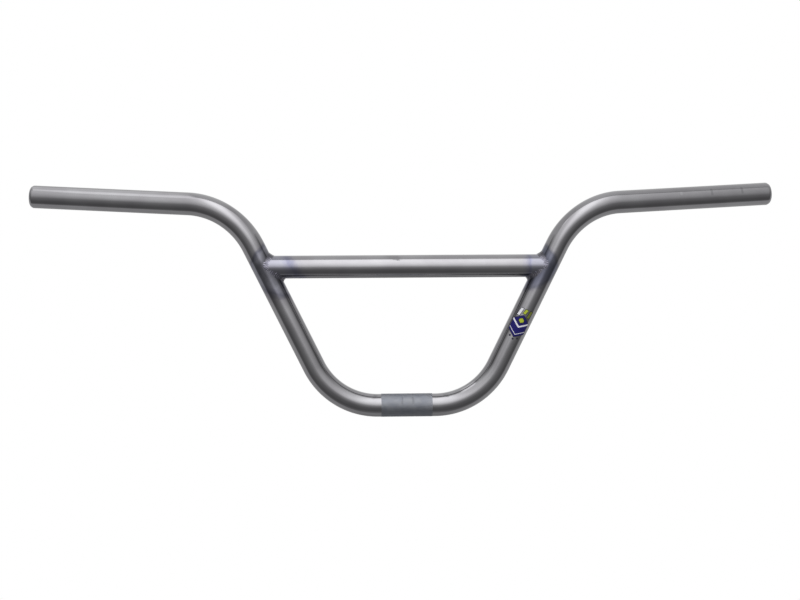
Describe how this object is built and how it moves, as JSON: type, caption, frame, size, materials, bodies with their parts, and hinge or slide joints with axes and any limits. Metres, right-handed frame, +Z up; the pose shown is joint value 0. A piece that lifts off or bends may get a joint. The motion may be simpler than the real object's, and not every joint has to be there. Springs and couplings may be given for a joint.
{
  "type": "bmx handlebar",
  "caption": "BMX handlebar: a bent steel tube with a knurled stem clamp, legs rising to back-swept grips, and a straight crossbar welded between the legs.",
  "frame": {"origin": "middle of the stem clamp, on the axis of the tube", "axes": "+X along the clamp, +Z up the rise, +Y back towards the rider, the way the grips sweep"},
  "size_m": [0.7278, 0.0602, 0.2254],
  "materials": {
    "coated_steel": "raw chromoly tube under a glossy translucent grey coat, blued by heat beside the welds",
    "weld_steel": "rippled weld bead under the same glossy coat",
    "knurl_steel": "fine matte diamond knurl",
    "decal_film": "thin printed film under the clear coat"
  },
  "bodies": {
    "root": {"bent_bar": "coated_steel", "crossbar": "coated_steel", "weld_left": "weld_steel", "weld_right": "weld_steel"}
  },
  "joints": []
}
